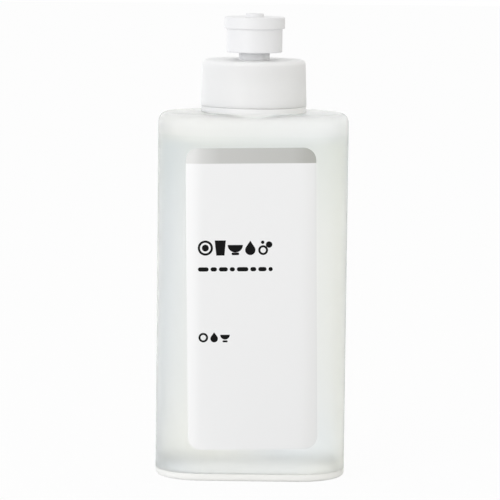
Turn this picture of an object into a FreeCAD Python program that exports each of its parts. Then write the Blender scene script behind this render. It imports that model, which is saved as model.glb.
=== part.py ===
import FreeCAD, Part
import math
import os

# A dish soap bottle with a wide neck, a screw cap and a push-pull spout.
# Millimetres, +Z up, +X to the right of the label, -Y towards whoever reads it.
# The origin is the middle of the base, on the surface that the bottle stands on.

# Bottle body
body_width = 89.85
body_depth = 52.0
body_corner_radius = 22.0
shoulder_height = 173.1
shoulder_dome_radius = 1000.0
shoulder_fillet = 4.2
base_fillet = 1.8
wall = 1.0
floor_thickness = 1.3
inner_fillet = 1.2

# Push-up of the base, and the pinch-off seam that blow moulding leaves across it
push_up_height = 1.5
push_up_inset = 8.0
push_up_fillet = 0.75
pinch_seam_length = 58.0
pinch_seam_width = 1.0
pinch_seam_height = 0.5

# Collar and neck
collar_radius = 24.75
collar_height = 2.7
collar_fillet = 0.3
neck_wall = 1.4
neck_height = 21.9
rim_fillet = 0.4

# Screw cap
cap_gap = 0.05
cap_bottom_radius = 24.9
cap_top_radius = 24.2
cap_top_wall = 1.6
cap_edge_fillet = 2.0
cap_foot_fillet = 0.35
deck_thickness = 1.6
liner_thickness = 1.0
liner_hole_radius = 14.0
liner_edge_gap = 0.5

# Thread between neck and cap, one start, right hand
thread_pitch = 5.0
thread_depth = 1.2
thread_root_width = 2.2
thread_crest_width = 1.0
thread_radial_gap = 0.4
thread_flank_gap = 0.2
thread_turns = 1.5
thread_top_margin = 3.4
thread_overlap = 0.3

# Chimney on the cap's deck, with the pin that closes the spout
chimney_radius = 7.25
chimney_bore_radius = 5.4
chimney_foot_height = 5.4
chimney_shaft_radius = 6.7
chimney_height = 13.4
chimney_bead_radius = 7.05
chimney_bead_height = 1.5
pin_radius = 2.5
pin_recess = 0.3
pin_top_fillet = 0.6
pin_root_depth = 3.0
spider_thickness = 1.3
spider_arms = 3

# Push-pull spout
spout_lift = 3.5
spout_height = 16.65
spout_radius = 13.15
spout_wall = 1.3
spout_bottom_fillet = 0.6
flange_radius = 14.3
flange_height = 5.5
flange_fillet = 0.5
spout_top_thickness = 1.6
lip_radius = 4.3
lip_height = 1.6
lip_fillet = 0.4
orifice_gap = 0.08
sleeve_gap = 0.1
sleeve_wall = 1.4
sleeve_bead_height = 1.0
sleeve_foot_gap = 0.2

# Front label, a film that follows the front face round to its corners
label_width = 60.9
label_height = 142.3
label_middle_x = 0.1
label_middle_height = 86.65
label_corner_radius = 6.0
label_turn = 1.0
label_thickness = 0.15
label_gap = 0.02

# Washing-up liquid, with its surface this far under the shoulder
headspace = 12.7
liquid_gap = 0.05

# Heights and radii that follow from the sizes above
dome_apex = shoulder_height + shoulder_dome_radius - math.sqrt(shoulder_dome_radius**2 - collar_radius**2)
fill_height = shoulder_height - headspace
collar_top = shoulder_height + collar_height
rim_height = shoulder_height + neck_height
cap_bottom = collar_top + cap_gap
deck_bottom = rim_height + liner_thickness
deck_top = deck_bottom + deck_thickness
cap_inner_radius = cap_top_radius - cap_top_wall
cap_thread_radius = cap_inner_radius - thread_depth
neck_radius = cap_thread_radius - thread_radial_gap
neck_bore_radius = neck_radius - neck_wall
liner_radius = cap_inner_radius - liner_edge_gap
chimney_top = deck_top + chimney_height
spout_bottom = deck_top + spout_lift
spout_top = spout_bottom + spout_height
lip_top = spout_top + lip_height
sleeve_bore_radius = chimney_bead_radius + sleeve_gap

UP = FreeCAD.Vector(0, 0, 1)
CENTRE = FreeCAD.Vector(0, 0, 0)
# How near counts as the same place, and how far a cutter reaches past the face it opens
TINY = 0.01
PAST = 1.0


def rounded_rectangle(width, depth, radius):
    """Wire of a rounded rectangle about the origin, in the XY plane."""
    x, y = width / 2, depth / 2
    bulge = radius * (1 - math.sqrt(0.5))
    edges = []
    for sx, sy in ((1, 1), (-1, 1), (-1, -1), (1, -1)):
        on_side = FreeCAD.Vector(sx * x, sy * (y - radius), 0)
        middle = FreeCAD.Vector(sx * (x - bulge), sy * (y - bulge), 0)
        on_front = FreeCAD.Vector(sx * (x - radius), sy * y, 0)
        arc = (on_side, middle, on_front) if sx * sy > 0 else (on_front, middle, on_side)
        edges.append(Part.Arc(*arc).toShape())
        if sx * sy > 0:
            edges.append(Part.LineSegment(on_front, FreeCAD.Vector(-sx * (x - radius), sy * y, 0)).toShape())
        else:
            edges.append(Part.LineSegment(on_side, FreeCAD.Vector(sx * x, -sy * (y - radius), 0)).toShape())
    return Part.Wire(Part.__sortEdges__(edges))


def edges_at(solid, height):
    """The edges that lie flat at one height."""
    box = [(edge, edge.BoundBox) for edge in solid.Edges]
    return [edge for edge, b in box if abs(b.ZMin - height) < TINY and abs(b.ZMax - height) < TINY]


def block(inset, bottom, top, bottom_fillet=0.0, top_fillet=0.0):
    """Prism on the body's plan, drawn in by an inset, with rounded edges at its two ends."""
    plan = rounded_rectangle(body_width - 2 * inset, body_depth - 2 * inset, body_corner_radius - inset)
    solid = Part.Face(plan).extrude(UP * (top - bottom))
    solid.translate(UP * bottom)
    if bottom_fillet > 0:
        solid = solid.makeFillet(bottom_fillet, edges_at(solid, bottom))
    if top_fillet > 0:
        solid = solid.makeFillet(top_fillet, edges_at(solid, top))
    return solid


def domed_block(inset, bottom, bottom_fillet, top_fillet):
    """The body's form drawn in by an inset: a prism that ends in the shoulder's shallow dome."""
    prism = block(inset, bottom, dome_apex + PAST, bottom_fillet)
    ball = Part.makeSphere(shoulder_dome_radius - inset)
    ball.rotate(CENTRE, FreeCAD.Vector(1, 0, 0), 90)
    ball.translate(UP * (dome_apex - shoulder_dome_radius))
    solid = prism.common(ball)
    edge_of_dome = [edge for edge in solid.Edges if edge.BoundBox.ZMin > shoulder_height - top_fillet - inset]
    return solid.makeFillet(top_fillet, edge_of_dome)


def cylinder(radius, bottom, top):
    return Part.makeCylinder(radius, top - bottom, UP * bottom)


def ring(outer_radius, inner_radius, bottom, top):
    return cylinder(outer_radius, bottom, top).cut(cylinder(inner_radius, bottom, top))


def rounded(solid, radius, height, circle_radius):
    """Rounds the circular edge of one radius at one height."""
    picked = [edge for edge in edges_at(solid, height) if abs(edge.BoundBox.XMax - circle_radius) < TINY]
    return solid.makeFillet(radius, picked)


def thread_ridge(wall_radius, outwards, middle_height):
    """One ridge of trapezoid section on a helix that starts at the +X side, its root sunk into the wall."""
    side = 1 if outwards else -1
    root = wall_radius - side * thread_overlap
    crest = wall_radius + side * thread_depth
    slope = (thread_root_width - thread_crest_width) / 2 / thread_depth
    root_half = thread_root_width / 2 + slope * thread_overlap
    crest_half = thread_crest_width / 2
    corners = [(root, -root_half), (crest, -crest_half), (crest, crest_half), (root, root_half)]
    points = [FreeCAD.Vector(x, 0, z) for x, z in corners]
    section = Part.makePolygon(points + points[:1])
    helix = Part.makeHelix(thread_pitch, thread_pitch * thread_turns, wall_radius)
    ridge = Part.Wire(helix.Edges).makePipeShell([section], True, True)
    ridge.translate(UP * middle_height)
    return ridge


def bottle_shell():
    outside = domed_block(0.0, 0.0, base_fillet, shoulder_fillet)
    collar = cylinder(collar_radius, shoulder_height - shoulder_fillet, collar_top)
    outside = outside.fuse(rounded(collar, collar_fillet, collar_top, collar_radius))
    neck = cylinder(neck_radius, shoulder_height, rim_height)
    outside = outside.fuse(rounded(neck, rim_fillet, rim_height, neck_radius))

    recess = block(push_up_inset, -PAST, push_up_height, 0.0, push_up_fillet)
    inside = domed_block(wall, floor_thickness, inner_fillet, shoulder_fillet - wall)
    raised_floor = block(push_up_inset - wall, -PAST, push_up_height + floor_thickness, 0.0, inner_fillet)
    inside = inside.cut(raised_floor)
    inside_bottom = shoulder_height - 2 * shoulder_fillet
    inside = inside.fuse(cylinder(collar_radius - wall, inside_bottom, collar_top - wall))
    inside = inside.fuse(cylinder(neck_bore_radius, inside_bottom, rim_height + PAST))

    pinch_seam = Part.makeBox(pinch_seam_length, pinch_seam_width, pinch_seam_height + wall / 2)
    seam_bottom = push_up_height - pinch_seam_height
    pinch_seam.translate(FreeCAD.Vector(-pinch_seam_length / 2, -pinch_seam_width / 2, seam_bottom))

    shell = outside.cut(recess).cut(inside).fuse(pinch_seam)
    return shell.fuse(thread_ridge(neck_radius, True, neck_thread_bottom())).removeSplitter()


def neck_thread_bottom():
    """Height of the middle of the neck's ridge where its helix starts."""
    return rim_height - thread_top_margin - thread_pitch * thread_turns


def detergent():
    """The liquid, a little inside the shell's inner faces, up to the fill line."""
    inset = wall + liquid_gap
    bottom = floor_thickness + liquid_gap
    liquid = block(inset, bottom, fill_height, inner_fillet, 0.0)
    raised_floor_top = push_up_height + floor_thickness + liquid_gap
    return liquid.cut(block(push_up_inset - inset, -PAST, raised_floor_top, 0.0, inner_fillet))


def front_label():
    outer = block(-label_gap - label_thickness, 0.0, shoulder_height)
    film = outer.cut(block(-label_gap, 0.0, shoulder_height))
    outline = Part.Face(rounded_label_outline()).extrude(FreeCAD.Vector(0, -body_depth, 0))
    return film.common(outline)


def rounded_label_outline():
    """The label's cut shape, upright in the XZ plane and turned a little anticlockwise as it is read."""
    x, z, r = label_width / 2, label_height / 2, label_corner_radius
    bulge = r * (1 - math.sqrt(0.5))
    edges = []
    for sx, sz in ((1, 1), (-1, 1), (-1, -1), (1, -1)):
        on_side = FreeCAD.Vector(sx * x, 0, sz * (z - r))
        middle = FreeCAD.Vector(sx * (x - bulge), 0, sz * (z - bulge))
        on_end = FreeCAD.Vector(sx * (x - r), 0, sz * z)
        edges.append(Part.Arc(on_side, middle, on_end).toShape())
        if sz == sx:
            edges.append(Part.LineSegment(on_end, FreeCAD.Vector(-sx * (x - r), 0, sz * z)).toShape())
        else:
            edges.append(Part.LineSegment(on_side, FreeCAD.Vector(sx * x, 0, -sz * (z - r))).toShape())
    wire = Part.Wire(Part.__sortEdges__(edges))
    wire.rotate(CENTRE, FreeCAD.Vector(0, -1, 0), label_turn)
    wire.translate(FreeCAD.Vector(label_middle_x, 0, label_middle_height))
    return wire


def cap_liner():
    """Sealing washer between the neck's rim and the cap's deck."""
    return ring(liner_radius, liner_hole_radius, rim_height, deck_bottom)


def screw_cap():
    """Skirt, thread, deck, chimney and sealing pin, moulded in one."""
    height = deck_top - cap_bottom
    outside = Part.makeCone(cap_bottom_radius, cap_top_radius, height, UP * cap_bottom)
    outside = rounded(outside, cap_edge_fillet, deck_top, cap_top_radius)
    outside = rounded(outside, cap_foot_fillet, cap_bottom, cap_bottom_radius)
    cap = outside.cut(cylinder(cap_inner_radius, cap_bottom - PAST, deck_bottom))

    # The cap's ridge hangs just under the neck's, as it does when the cap is tight
    mid_width = (thread_root_width + thread_crest_width) / 2
    ridge_bottom = neck_thread_bottom() - mid_width - thread_flank_gap
    cap = cap.fuse(thread_ridge(cap_inner_radius, False, ridge_bottom))

    foot_top = deck_top + chimney_foot_height
    bead_bottom = chimney_top - chimney_bead_height
    chimney = cylinder(chimney_radius, deck_bottom, foot_top)
    chimney = chimney.fuse(cylinder(chimney_shaft_radius, foot_top, chimney_top))
    chimney = chimney.fuse(chimney_bead(bead_bottom))
    cap = cap.fuse(chimney).cut(cylinder(chimney_bore_radius, deck_bottom - PAST, chimney_top + PAST))
    return cap.fuse(sealing_pin()).removeSplitter()


def chimney_bead(bottom):
    """Snap bead that keeps the spout from pulling off, tapered so that the spout can be pushed on over it."""
    step = chimney_bead_radius - chimney_shaft_radius
    bead = cylinder(chimney_bead_radius, bottom, chimney_top)
    top_edge = [e for e in edges_at(bead, chimney_top) if abs(e.BoundBox.XMax - chimney_bead_radius) < TINY]
    return bead.makeChamfer(step, top_edge)


def sealing_pin():
    """Pin in the middle of the chimney, held by a spider of thin arms that the liquid flows between."""
    pin_bottom = chimney_top - pin_root_depth
    pin_top = lip_top - pin_recess
    pin = cylinder(pin_radius, pin_bottom, pin_top)
    pin = rounded(pin, pin_top_fillet, pin_top, pin_radius)
    arm_length = (chimney_bore_radius + chimney_shaft_radius) / 2
    for number in range(spider_arms):
        arm = Part.makeBox(arm_length, spider_thickness, pin_root_depth)
        arm.translate(FreeCAD.Vector(0, -spider_thickness / 2, pin_bottom))
        arm.rotate(CENTRE, UP, 90 + 360 * number / spider_arms)
        pin = pin.fuse(arm)
    return pin


def push_pull_spout():
    """Sliding nozzle: outer barrel with a grip flange, inner sleeve on the chimney, lip round the orifice."""
    barrel = cylinder(spout_radius, spout_bottom, spout_top)
    barrel = rounded(barrel, spout_bottom_fillet, spout_bottom, spout_radius)
    flange_bottom = spout_top - flange_height
    flange = cylinder(flange_radius, flange_bottom, spout_top)
    flange = rounded(flange, flange_fillet, spout_top, flange_radius)
    flange = rounded(flange, flange_fillet, flange_bottom, flange_radius)
    spout = barrel.fuse(flange)

    underside = spout_top - spout_top_thickness
    spout = spout.cut(cylinder(spout_radius - spout_wall, spout_bottom - PAST, underside))
    lip = rounded(cylinder(lip_radius, underside, lip_top), lip_fillet, lip_top, lip_radius)
    sleeve_bottom = deck_top + chimney_foot_height + sleeve_foot_gap
    sleeve = ring(sleeve_bore_radius + sleeve_wall, sleeve_bore_radius, sleeve_bottom, underside)
    bead_radius = chimney_shaft_radius + sleeve_gap
    bead_top = sleeve_bottom + sleeve_bead_height
    bead = ring(sleeve_bore_radius + sleeve_wall, bead_radius, sleeve_bottom, bead_top)
    spout = spout.fuse(lip).fuse(sleeve).fuse(bead)
    spout = spout.cut(cylinder(pin_radius + orifice_gap, underside - PAST, lip_top + PAST))
    return spout.removeSplitter()


PIECES = {
    "bottle_shell": bottle_shell,
    "detergent": detergent,
    "front_label": front_label,
    "cap_liner": cap_liner,
    "screw_cap": screw_cap,
    "push_pull_spout": push_pull_spout,
}

os.makedirs("parts", exist_ok=True)
for name, make in PIECES.items():
    shape = make()
    shape.exportStep("parts/" + name + ".step")
    box = shape.BoundBox
    print(
        name, len(shape.Solids), "solid,", "valid" if shape.isValid() else "NOT VALID",
        "volume %.2f ml," % (shape.Volume / 1000),
        "x %.2f..%.2f y %.2f..%.2f z %.2f..%.2f" % (box.XMin, box.XMax, box.YMin, box.YMax, box.ZMin, box.ZMax),
    )
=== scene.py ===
import math

import bmesh
import bpy
from mathutils import Matrix, Vector


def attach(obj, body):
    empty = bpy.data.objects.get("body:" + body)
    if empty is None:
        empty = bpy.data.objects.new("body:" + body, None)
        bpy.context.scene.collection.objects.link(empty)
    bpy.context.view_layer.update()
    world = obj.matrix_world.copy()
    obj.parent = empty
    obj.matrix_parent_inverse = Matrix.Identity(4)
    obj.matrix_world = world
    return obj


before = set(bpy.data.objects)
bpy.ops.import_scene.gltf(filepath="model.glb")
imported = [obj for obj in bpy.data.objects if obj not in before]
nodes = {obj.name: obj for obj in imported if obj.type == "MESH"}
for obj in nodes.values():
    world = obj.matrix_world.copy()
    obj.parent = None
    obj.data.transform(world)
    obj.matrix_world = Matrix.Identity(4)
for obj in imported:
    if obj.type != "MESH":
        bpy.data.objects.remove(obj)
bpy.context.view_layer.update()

# Lengths are in metres, in the frame of the CAD: +Z up, -Y out of the front label
MM = 0.001

# Camera, as the photograph sees the bottle
CAMERA_DISTANCE = 1.5
CAMERA_HEIGHT = 0.280
AIM_HEIGHT = 0.1070
AIM_X = -0.0010
CAMERA_ROLL = 0.0115
FOCAL_PIXELS = 3175.0
PICTURE_PIXELS = 500.0
SENSOR_WIDTH = 36.0
CLIP_NEAR = 0.05
CLIP_FAR = 50.0

# Plan of the bottle, and the front label stuck on it
BODY_WIDTH = 89.85 * MM
BODY_DEPTH = 52.0 * MM
BODY_CORNER_RADIUS = 22.0 * MM
LABEL_MIDDLE = Vector((0.1 * MM, 0.0, 86.65 * MM))
LABEL_TURN = math.radians(1.0)
LABEL_FACE_OUT = 0.17 * MM
LABEL_HALF_HEIGHT = 71.15 * MM
BAND_HEIGHT = 7.2 * MM


def make_camera():
    data = bpy.data.cameras.new("camera")
    data.sensor_width = SENSOR_WIDTH
    data.lens = FOCAL_PIXELS / PICTURE_PIXELS * SENSOR_WIDTH
    data.clip_start = CLIP_NEAR
    data.clip_end = CLIP_FAR
    camera = bpy.data.objects.new("camera", data)
    bpy.context.scene.collection.objects.link(camera)
    place = Vector((AIM_X, -CAMERA_DISTANCE, CAMERA_HEIGHT))
    aim = Vector((AIM_X, 0.0, AIM_HEIGHT))
    turn = (aim - place).to_track_quat("-Z", "Y").to_matrix().to_4x4()
    camera.matrix_world = Matrix.Translation(place) @ turn @ Matrix.Rotation(CAMERA_ROLL, 4, "Z")
    bpy.context.scene.camera = camera


class Tree:
    """A short way to write a node tree: add a node, set its sockets, link it."""

    def __init__(self, owner):
        owner.use_nodes = True
        self.nodes = owner.node_tree.nodes
        self.links = owner.node_tree.links
        self.nodes.clear()

    def add(self, kind, settings=None, **sockets):
        node = self.nodes.new(kind)
        for key, value in (settings or {}).items():
            setattr(node, key, value)
        for key, value in sockets.items():
            self.set(node, key.replace("_", " "), value)
        return node

    def set(self, node, socket, value):
        target = node.inputs[int(socket)] if socket.isdigit() else node.inputs[socket]
        if isinstance(value, bpy.types.NodeSocket):
            self.links.new(value, target)
        else:
            target.default_value = value


def math_node(tree, operation, a, b=0.0):
    node = tree.add("ShaderNodeMath", {"operation": operation})
    tree.set(node, "0", a)
    tree.set(node, "1", b)
    return node.outputs[0]


UNIT = (0.0, 1.0)
UNIT_DOWN = (1.0, 0.0)
BOTH_WAYS = (-1.0, 1.0)
EVEN = "LINEAR"
SMOOTH = "SMOOTHSTEP"


def ranged(tree, value, span, ends, shape=EVEN):
    """The value's run over a span, mapped to a run between two ends and held there beyond it."""
    node = tree.add(
        "ShaderNodeMapRange", {"interpolation_type": shape},
        Value=value, From_Min=span[0], From_Max=span[1], To_Min=ends[0], To_Max=ends[1],
    )
    return node.outputs["Result"]


def bearing(tree, place):
    """Where a point or direction lies about the bottle's axis: 0 left, 0.5 middle, 1 right."""
    flat = tree.add("ShaderNodeCombineXYZ", X=place.outputs["X"], Y=place.outputs["Y"])
    unit = tree.add("ShaderNodeVectorMath", {"operation": "NORMALIZE"})
    tree.set(unit, "0", flat.outputs[0])
    x = tree.add("ShaderNodeSeparateXYZ", Vector=unit.outputs["Vector"]).outputs["X"]
    return ranged(tree, x, BOTH_WAYS, UNIT)


def ramp(tree, factor, stops):
    node = tree.add("ShaderNodeValToRGB", Fac=factor)
    elements = node.color_ramp.elements
    elements[0].position, elements[0].color = stops[0]
    elements[1].position, elements[1].color = stops[-1]
    for place, colour in stops[1:-1]:
        elements.new(place).color = colour
    return node.outputs["Color"]


# Numbers of a Mix node's sockets for colours
MIX_FIRST = "6"
MIX_SECOND = "7"
MIX_RESULT = 2


def mixed_colour(tree, factor, first, second):
    node = tree.add("ShaderNodeMix", {"data_type": "RGBA"}, Factor=factor)
    tree.set(node, MIX_FIRST, first)
    tree.set(node, MIX_SECOND, second)
    return node.outputs[MIX_RESULT]


def mixed(tree, factor, first, second):
    node = tree.add("ShaderNodeMixShader", Fac=factor)
    tree.set(node, "1", first.outputs[0])
    tree.set(node, "2", second.outputs[0])
    return node


# Light on matt surfaces: from the left and the right, and its level in low and high directions
WORLD_LEFT = (0.94, 0.95, 0.97, 1)
WORLD_RIGHT = (0.86, 0.85, 0.815, 1)
LEVELS = (1.2, 0.85)
LEVEL_SPAN = (0.2, 0.6)

# Colours by bearing: what gloss shows of the world and of the floor, and what shows through the
# plastics of either
GLOSS_HIGH = ((0.0, (1.2, 1.2, 1.2, 1)), (1.0, (0.9, 0.9, 0.9, 1)))
GLOSS_LOW = (
    (0.0, (0.8, 0.85, 0.9, 1)),
    (0.15, (1.8, 1.8, 1.8, 1)),
    (0.3, (1.5, 1.5, 1.5, 1)),
    (0.45, (0.5, 0.53, 0.57, 1)),
    (0.6, (0.4, 0.4, 0.4, 1)),
    (0.75, (0.05, 0.05, 0.0, 1)),
)
THROUGH = (
    (0.08, (0.79, 0.84, 0.88, 1)),
    (0.33, (1.08, 1.065, 0.965, 1)),
    (0.5, (1.0, 1.0, 0.98, 1)),
    (0.67, (0.90, 0.955, 1.02, 1)),
    (0.92, (1.33, 1.32, 1.18, 1)),
)
WHITE = (1, 1, 1, 1)

# The tall soft lamp in front on the left
KEY_ENERGY = 4.3
KEY_SIZE = (0.5, 1.1)
KEY_PLACE = Vector((-0.78, -1.15, 0.70))
KEY_AIM = Vector((0, 0, 0.12))


def make_world():
    world = bpy.data.worlds.new("world")
    bpy.context.scene.world = world
    tree = Tree(world)
    path = tree.add("ShaderNodeLightPath")
    place = tree.add("ShaderNodeTexCoord")
    split = tree.add("ShaderNodeSeparateXYZ", Vector=place.outputs["Generated"])
    side = ranged(tree, split.outputs["X"], BOTH_WAYS, UNIT)
    turn = bearing(tree, split)
    level = ranged(tree, split.outputs["Z"], LEVEL_SPAN, LEVELS, SMOOTH)
    matt_colour = mixed_colour(tree, side, WORLD_LEFT, WORLD_RIGHT)
    lit = tree.add("ShaderNodeBackground", Color=matt_colour, Strength=level)
    gloss = tree.add("ShaderNodeBackground", Color=ramp(tree, turn, GLOSS_HIGH))
    through = tree.add("ShaderNodeBackground", Color=ramp(tree, turn, THROUGH))
    backdrop = tree.add("ShaderNodeBackground", Color=WHITE, Strength=1.0)
    world_mix = mixed(tree, path.outputs["Is Glossy Ray"], lit, gloss)
    world_mix = mixed(tree, path.outputs["Is Transmission Ray"], world_mix, through)
    world_mix = mixed(tree, path.outputs["Is Camera Ray"], world_mix, backdrop)
    tree.add("ShaderNodeOutputWorld", Surface=world_mix.outputs[0])


def make_key():
    key = bpy.data.lights.new("key", "AREA")
    key.shape = "RECTANGLE"
    key.size, key.size_y = KEY_SIZE
    key.energy = KEY_ENERGY
    lamp = bpy.data.objects.new("key", key)
    bpy.context.scene.collection.objects.link(lamp)
    turn = (KEY_AIM - KEY_PLACE).to_track_quat("-Z", "Y").to_matrix().to_4x4()
    lamp.matrix_world = Matrix.Translation(KEY_PLACE) @ turn


# Floor: matt for its shadow, and white or coloured by bearing where a ray shows it
FLOOR_HALF = 6.0
FLOOR_COLOUR = (0.85, 0.85, 0.85, 1)
FLOOR_GLOW = 0.94


def make_floor():
    mesh = bpy.data.meshes.new("floor")
    s = FLOOR_HALF
    mesh.from_pydata([(-s, -s, 0), (s, -s, 0), (s, s, 0), (-s, s, 0)], [], [(0, 1, 2, 3)])
    floor = bpy.data.objects.new("floor", mesh)
    bpy.context.scene.collection.objects.link(floor)
    material = bpy.data.materials.new("floor_white")
    tree = Tree(material)
    diffuse = tree.add("ShaderNodeBsdfDiffuse", Color=FLOOR_COLOUR)
    place = tree.add("ShaderNodeTexCoord")
    split = tree.add("ShaderNodeSeparateXYZ", Vector=place.outputs["Object"])
    turn = bearing(tree, split)
    path = tree.add("ShaderNodeLightPath")
    gloss = mixed_colour(tree, path.outputs["Is Glossy Ray"], WHITE, ramp(tree, turn, GLOSS_LOW))
    through = ramp(tree, turn, THROUGH)
    seen_colour = mixed_colour(tree, path.outputs["Is Transmission Ray"], gloss, through)
    glow = tree.add("ShaderNodeEmission", Color=seen_colour, Strength=1.0)
    seen = math_node(tree, "MAXIMUM", path.outputs["Is Camera Ray"], path.outputs["Is Glossy Ray"])
    seen = math_node(tree, "MAXIMUM", seen, path.outputs["Is Transmission Ray"])
    mix = mixed(tree, math_node(tree, "MULTIPLY", seen, FLOOR_GLOW), diffuse, glow)
    tree.add("ShaderNodeOutputMaterial", Surface=mix.outputs[0])
    mesh.materials.append(material)


def dress(node, material):
    mesh = nodes[node].data
    mesh.materials.clear()
    mesh.materials.append(material)


NOISE_DETAIL = 3.0


def fine_noise(tree, scale):
    """Noise on the object's own coordinates, so that it stays put on the piece."""
    place = tree.add("ShaderNodeTexCoord").outputs["Object"]
    return tree.add("ShaderNodeTexNoise", Vector=place, Scale=scale, Detail=NOISE_DETAIL)


def plastic(name, colour, roughness, grain, **settings):
    """Plastic with a fine moulded grain: its roughness and relief vary a little with a noise.

    The roughness is a middle value and a spread, and the grain is the noise's scale and its depth.
    """
    material = bpy.data.materials.new(name)
    tree = Tree(material)
    middle, spread = roughness
    scale, depth = grain
    noise = fine_noise(tree, scale).outputs["Fac"]
    relief = tree.add("ShaderNodeBump", Height=noise, Distance=depth, Strength=1.0)
    shader = tree.add(
        "ShaderNodeBsdfPrincipled",
        Base_Color=colour,
        Roughness=ranged(tree, noise, UNIT, (middle - spread, middle + spread)),
        Normal=relief.outputs["Normal"],
        **settings,
    )
    tree.add("ShaderNodeOutputMaterial", Surface=shader.outputs["BSDF"])
    return material, tree, shader


def position(tree):
    """The point on the piece, in metres in the shared frame, as separate X, Y and Z."""
    place = tree.add("ShaderNodeTexCoord")
    return tree.add("ShaderNodeSeparateXYZ", Vector=place.outputs["Object"]).outputs


# Shell: see-through, but milky in a low ring at its foot and where it is thick at collar and neck.
# It has painted shade below the fill line, darkest close to it: the look of the liquid seen
# through the wall.
# That line lies 2.5 mm above the surface of the liquid's own solid.
SHELL_COLOUR = (0.99, 0.99, 0.99, 1)
SHELL_ROUGHNESS = (0.5, 0.04)
SHELL_GRAIN = (900.0, 0.01 * MM)
SHELL_IOR = 1.2
SHELL_CLEAR = 0.96
COLLAR_COLOUR = (0.88, 0.88, 0.88, 1)
COLLAR_THICK = (173.1 * MM, 173.7 * MM)
FOOT_COLOUR = (0.935, 0.935, 0.915, 1)
FOOT_HEIGHT = 3.4 * MM
FOOT_WIDTH = 1.6 * MM
FOOT_EDGE = 0.2 * MM
# Painted shade: the shell's colour below the fill line, for the liquid seen through the wall
LIQUID_LINE_SHADE_COLOUR = (0.945, 0.955, 0.95, 1)
FILL_LINE = 162.9 * MM
FILL_EDGE = 0.5 * MM
FILL_FADE = 55.0 * MM


def past_flat(tree, place, size):
    """How far a coordinate lies past the flat part of a side of this size, or 0."""
    flat_half = size / 2 - BODY_CORNER_RADIUS
    past = math_node(tree, "SUBTRACT", math_node(tree, "ABSOLUTE", place), flat_half)
    return math_node(tree, "MAXIMUM", past, 0.0)


def inset(tree):
    """How far inside the bottle's plan a point near its rim lies, in metres."""
    at = position(tree)
    past_x = past_flat(tree, at["X"], BODY_WIDTH)
    past_y = past_flat(tree, at["Y"], BODY_DEPTH)
    past = tree.add("ShaderNodeCombineXYZ", X=past_x, Y=past_y)
    length = tree.add("ShaderNodeVectorMath", {"operation": "LENGTH"})
    tree.set(length, "0", past.outputs[0])
    return math_node(tree, "SUBTRACT", BODY_CORNER_RADIUS, length.outputs["Value"])


def frosted_shell():
    material, tree, shader = plastic(
        "frosted_shell", SHELL_COLOUR, SHELL_ROUGHNESS, SHELL_GRAIN, IOR=SHELL_IOR)
    z = position(tree)["Z"]
    rim = ranged(tree, inset(tree), (FOOT_WIDTH, FOOT_WIDTH + FOOT_EDGE), UNIT_DOWN)
    low = ranged(tree, z, (FOOT_HEIGHT, FOOT_HEIGHT + FOOT_EDGE), UNIT_DOWN)
    above_foot = math_node(tree, "SUBTRACT", 1.0, math_node(tree, "MULTIPLY", rim, low))
    top = ranged(tree, z, COLLAR_THICK, UNIT, SMOOTH)
    below = ranged(tree, z, (FILL_LINE - FILL_EDGE, FILL_LINE + FILL_EDGE), UNIT_DOWN, SMOOTH)
    near = ranged(tree, z, (FILL_LINE - FILL_FADE, FILL_LINE), UNIT, SMOOTH)
    # Painted shade below the fill line, darkest close to it and fading downwards
    liquid_line_shade = mixed_colour(tree, math_node(tree, "MULTIPLY", below, near), SHELL_COLOUR, LIQUID_LINE_SHADE_COLOUR)
    colour = mixed_colour(tree, above_foot, FOOT_COLOUR, liquid_line_shade)
    tree.set(shader, "Base Color", mixed_colour(tree, top, colour, COLLAR_COLOUR))
    clear = math_node(tree, "MULTIPLY", above_foot, math_node(tree, "SUBTRACT", 1.0, top))
    tree.set(shader, "Transmission Weight", math_node(tree, "MULTIPLY", clear, SHELL_CLEAR))
    return material


# Liquid: clear and smooth
LIQUID_COLOUR = (0.92, 0.935, 0.93, 1)
LIQUID_ROUGHNESS = (0.02, 0.0)
LIQUID_GRAIN = (50.0, 0.0)
LIQUID_IOR = 1.15


def liquid():
    material, _, _ = plastic(
        "liquid", LIQUID_COLOUR, LIQUID_ROUGHNESS, LIQUID_GRAIN,
        Transmission_Weight=1.0, IOR=LIQUID_IOR)
    return material


# Cap and spout: satin. Light spreads within the cap's walls, but not within the thin chimney on
# its deck.
SATIN = (0.38, 0.04)
MOULD_GRAIN = (900.0, 0.005 * MM)
CAP_COLOUR = (0.958, 0.962, 0.972, 1)
CAP_IOR = 1.4
CAP_SPREAD = 3.0 * MM
CAP_DECK_TOP = (197.7 * MM, 198.0 * MM)
SPOUT_COLOUR = (0.855, 0.855, 0.865, 1)
SPOUT_IOR = 1.5


def cap_plastic():
    material, tree, shader = plastic(
        "cap_plastic", CAP_COLOUR, SATIN, MOULD_GRAIN, IOR=CAP_IOR,
        Subsurface_Weight=1.0, Subsurface_Radius=(1, 1, 1), Subsurface_Scale=CAP_SPREAD)
    z = position(tree)["Z"]
    tree.set(shader, "Subsurface Weight", ranged(tree, z, CAP_DECK_TOP, UNIT_DOWN))
    return material


def spout_plastic():
    material, _, _ = plastic("spout_plastic", SPOUT_COLOUR, SATIN, MOULD_GRAIN, IOR=SPOUT_IOR)
    return material


# Washer: dull foam
FOAM_COLOUR = (0.85, 0.85, 0.84, 1)
FOAM_ROUGHNESS = (0.8, 0.04)
FOAM_GRAIN = (2500.0, 0.02 * MM)


def liner_foam():
    material, _, _ = plastic("liner_foam", FOAM_COLOUR, FOAM_ROUGHNESS, FOAM_GRAIN)
    return material
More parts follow.
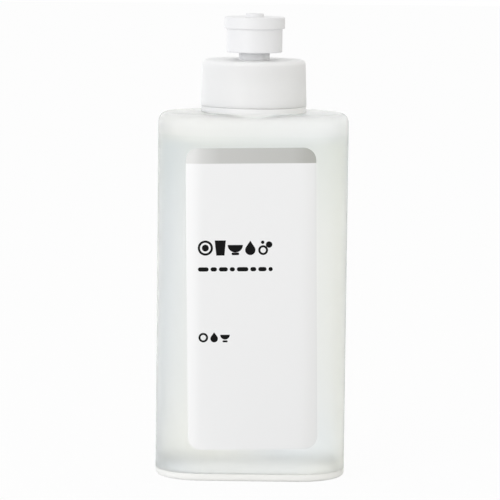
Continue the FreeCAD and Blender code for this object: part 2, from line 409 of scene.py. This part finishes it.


# Label: white film with a grey band along its top, with a painted highlight lighter towards the
# left and painted shade darker at its right end
LABEL_COLOUR = (0.885, 0.885, 0.89, 1)
LABEL_ROUGHNESS = (0.3, 0.02)
LABEL_GRAIN = (120.0, 0.01 * MM)
LABEL_GLOSS = 1.0
BAND_HALF_WIDTH = 32.0 * MM
# The band's grey across the label, with a painted highlight at its left end and painted shade at
# its right end
BAND_GREY_WITH_PAINTED_LIGHT = (
    (0.07, (0.72, 0.72, 0.71, 1)),
    (0.26, (0.56, 0.56, 0.545, 1)),
    (0.78, (0.52, 0.52, 0.50, 1)),
    (0.87, (0.47, 0.47, 0.445, 1)),
)
BAND_EDGE = 0.1 * MM


def label_film():
    material, tree, shader = plastic(
        "label_film", LABEL_COLOUR, LABEL_ROUGHNESS, LABEL_GRAIN, Specular_IOR_Level=LABEL_GLOSS)
    at = position(tree)
    along = math_node(tree, "SUBTRACT", at["X"], LABEL_MIDDLE.x)
    above = math_node(tree, "SUBTRACT", at["Z"], LABEL_MIDDLE.z)
    upright = math_node(tree, "MULTIPLY", above, math.cos(LABEL_TURN))
    slant = math_node(tree, "MULTIPLY", along, math.sin(LABEL_TURN))
    rise = math_node(tree, "SUBTRACT", upright, slant)
    band_foot = LABEL_HALF_HEIGHT - BAND_HEIGHT
    in_band = ranged(tree, rise, (band_foot - BAND_EDGE, band_foot + BAND_EDGE), UNIT)
    across = ranged(tree, along, (-BAND_HALF_WIDTH, BAND_HALF_WIDTH), UNIT)
    # Grey band with a painted highlight to the left and painted shade at the right end
    band_grey_and_painted_light = ramp(tree, across, BAND_GREY_WITH_PAINTED_LIGHT)
    tree.set(shader, "Base Color", mixed_colour(tree, in_band, LABEL_COLOUR, band_grey_and_painted_light))
    return material


# Ink: black, with little gloss
INK_COLOUR = (0.005, 0.005, 0.005, 1)
INK_ROUGHNESS = (0.35, 0.03)
INK_GRAIN = (900.0, 0.0)
INK_GLOSS = 0.1


def ink():
    material, _, _ = plastic(
        "ink", INK_COLOUR, INK_ROUGHNESS, INK_GRAIN, Specular_IOR_Level=INK_GLOSS)
    return material


# Print: simple shapes in label coordinates, millimetres right and up from the label's middle
PRINT_LEFT = -25.1
INK_THICKNESS = 0.03 * MM
SLICE_WIDTH = 0.6

# Steps that a curve is drawn in
DISC_STEPS = 40
HALF_DISC_STEPS = 24
DROP_STEPS = 32
BAR_END_STEPS = 8


def on_circle(x, y, radius, start, sweep, count):
    """Points on a circle from a start angle through a sweep, with both ends."""
    angles = [start + sweep * i / count for i in range(count + 1)]
    return [(x + radius * math.cos(angle), y + radius * math.sin(angle)) for angle in angles]


def disc(x, y, radius):
    return on_circle(x, y, radius, 0.0, 2 * math.pi, DISC_STEPS)[:-1]


def half_disc(x, y, radius):
    """The lower half of a disc."""
    return on_circle(x, y, radius, math.pi, math.pi, HALF_DISC_STEPS)


def drop(x, y, radius, tip):
    """A drop: most of a circle, closed by straight flanks to a tip above it."""
    open_half = math.acos(radius / tip)
    start = math.pi / 2 + open_half
    rim = on_circle(x, y, radius, start, 2 * (math.pi - open_half), DROP_STEPS)
    return rim + [(x, y + tip)]


def bar(left, right, y, height):
    """A bar with round ends."""
    r = height / 2
    right_end = on_circle(right - r, y, r, -math.pi / 2, math.pi, BAR_END_STEPS)
    left_end = on_circle(left + r, y, r, math.pi / 2, math.pi, BAR_END_STEPS)
    return right_end + left_end


def front_face(x, out):
    """Y of a point this far out of the bottle's front, which turns round into its corners."""
    flat_half = BODY_WIDTH / 2 - BODY_CORNER_RADIUS
    past = max(abs(x) - flat_half, 0.0)
    rise = math.sqrt((BODY_CORNER_RADIUS + out) ** 2 - past ** 2)
    return BODY_CORNER_RADIUS - BODY_DEPTH / 2 - rise


def printed(name, shapes, material):
    """One thin piece of ink for a row of shapes: each is an outline and the hole in it or None.

    It is sliced upright at even steps, so that it can follow the curve of the bottle's front.
    """
    bm = bmesh.new()
    for outline, hole in shapes:
        rims = [[bm.verts.new((x, 0, y)) for x, y in loop] for loop in (outline, hole) if loop]
        if hole:
            outer, inner = rims
            for i in range(len(outer)):
                j = (i + 1) % len(outer)
                bm.faces.new((outer[i], outer[j], inner[j], inner[i]))
        else:
            bm.faces.new(rims[0])
    low = min(v.co.x for v in bm.verts)
    high = max(v.co.x for v in bm.verts)
    for step in range(1, int((high - low) / SLICE_WIDTH) + 1):
        everything = bm.verts[:] + bm.edges[:] + bm.faces[:]
        cut_at = (low + step * SLICE_WIDTH, 0, 0)
        bmesh.ops.bisect_plane(bm, geom=everything, plane_co=cut_at, plane_no=(1, 0, 0))
    top = bmesh.ops.extrude_face_region(bm, geom=bm.faces[:])
    for element in top["geom"]:
        if isinstance(element, bmesh.types.BMVert):
            element.co.y = 1.0
    bm.normal_update()
    for v in bm.verts:
        x, z = v.co.x * MM, v.co.z * MM
        place_x = LABEL_MIDDLE.x + x * math.cos(LABEL_TURN) - z * math.sin(LABEL_TURN)
        place_z = LABEL_MIDDLE.z + x * math.sin(LABEL_TURN) + z * math.cos(LABEL_TURN)
        out = LABEL_FACE_OUT + (v.co.y * 2 - 1) * INK_THICKNESS
        v.co = Vector((place_x, front_face(place_x, out), place_z))
    bmesh.ops.recalc_face_normals(bm, faces=bm.faces[:])
    mesh = bpy.data.meshes.new(name)
    bm.to_mesh(mesh)
    bm.free()
    mesh.materials.append(material)
    piece = bpy.data.objects.new(name, mesh)
    bpy.context.scene.collection.objects.link(piece)
    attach(piece, "bottle")


# Signs: each gives its shapes round a middle point
def plate(x, y, radius):
    rim_inside = 2.5
    well = 1.6
    return [(disc(x, y, radius), disc(x, y, rim_inside)), (disc(x, y, well), None)]


def tumbler(x, y, half_height):
    mouth_half = 2.6
    foot_half = 1.9
    left = [(x - mouth_half, y + half_height), (x - foot_half, y - half_height)]
    right = [(x + foot_half, y - half_height), (x + mouth_half, y + half_height)]
    return [(left + right, None)]


def bowl(x, y, radius, rim_rise, foot_half, foot_drop, foot_height):
    foot = bar(x - foot_half, x + foot_half, y - foot_drop, foot_height)
    return [(half_disc(x, y + rim_rise, radius), None), (foot, None)]


def bubbles(x, y):
    """A large bubble as a ring, and a middling and a small one above it."""
    large, hole, middling, small = 2.3, 1.3, 1.5, 0.8
    large_x, large_y = x - 1.0, y - 1.1
    ring = (disc(large_x, large_y, large), disc(large_x, large_y, hole))
    return [ring, (disc(x + 1.8, y + 1.5, middling), None), (disc(x - 1.2, y + 2.6, small), None)]


def places(count, half, pitch):
    """Middles of the signs in a row that starts at the print's left edge."""
    return [PRINT_LEFT + half + pitch * i for i in range(count)]


def print_pictograms(material):
    """Plate, tumbler, bowl, drop and bubbles in a row: plain kitchen signs."""
    middle, half, pitch = 24.4, 3.55, 7.0
    x = places(5, half, pitch)
    shapes = plate(x[0], middle, half)
    shapes += tumbler(x[1], middle, half)
    shapes += bowl(x[2], middle, half, rim_rise=1.4, foot_half=1.8, foot_drop=2.8, foot_height=1.2)
    shapes += [(drop(x[3], middle - 1.0, radius=2.4, tip=4.4), None)]
    shapes += bubbles(x[4], middle)
    printed("print_pictograms", shapes, material)


def print_dashes(material):
    """A broken line of round-ended dashes under the pictograms."""
    middle, height, gap = 14.35, 2.0, 0.9
    lengths = (5.0, 3.0, 4.2, 2.4, 5.4, 2.8, 3.9, 2.0)
    left = PRINT_LEFT
    shapes = []
    for length in lengths:
        shapes.append((bar(left, left + length, middle, height), None))
        left += length + gap
    printed("print_dashes", shapes, material)


def print_small_signs(material):
    """Three small signs lower down: ring, drop and bowl."""
    middle, half, pitch = -17.85, 2.25, 5.1
    ring_inside = 1.3
    x = places(3, half, pitch)
    shapes = [(disc(x[0], middle, half), disc(x[0], middle, ring_inside))]
    shapes += [(drop(x[1], middle - 0.5, radius=1.75, tip=3.0), None)]
    shapes += bowl(x[2], middle, half, rim_rise=1.3, foot_half=1.2, foot_drop=1.8, foot_height=0.9)
    printed("print_small_signs", shapes, material)


bpy.context.scene.view_settings.view_transform = "Standard"
make_camera()
make_world()
make_key()
make_floor()

dress("bottle_shell", frosted_shell())
dress("detergent", liquid())
dress("front_label", label_film())
dress("cap_liner", liner_foam())
dress("screw_cap", cap_plastic())
dress("push_pull_spout", spout_plastic())

black = ink()
print_pictograms(black)
print_dashes(black)
print_small_signs(black)
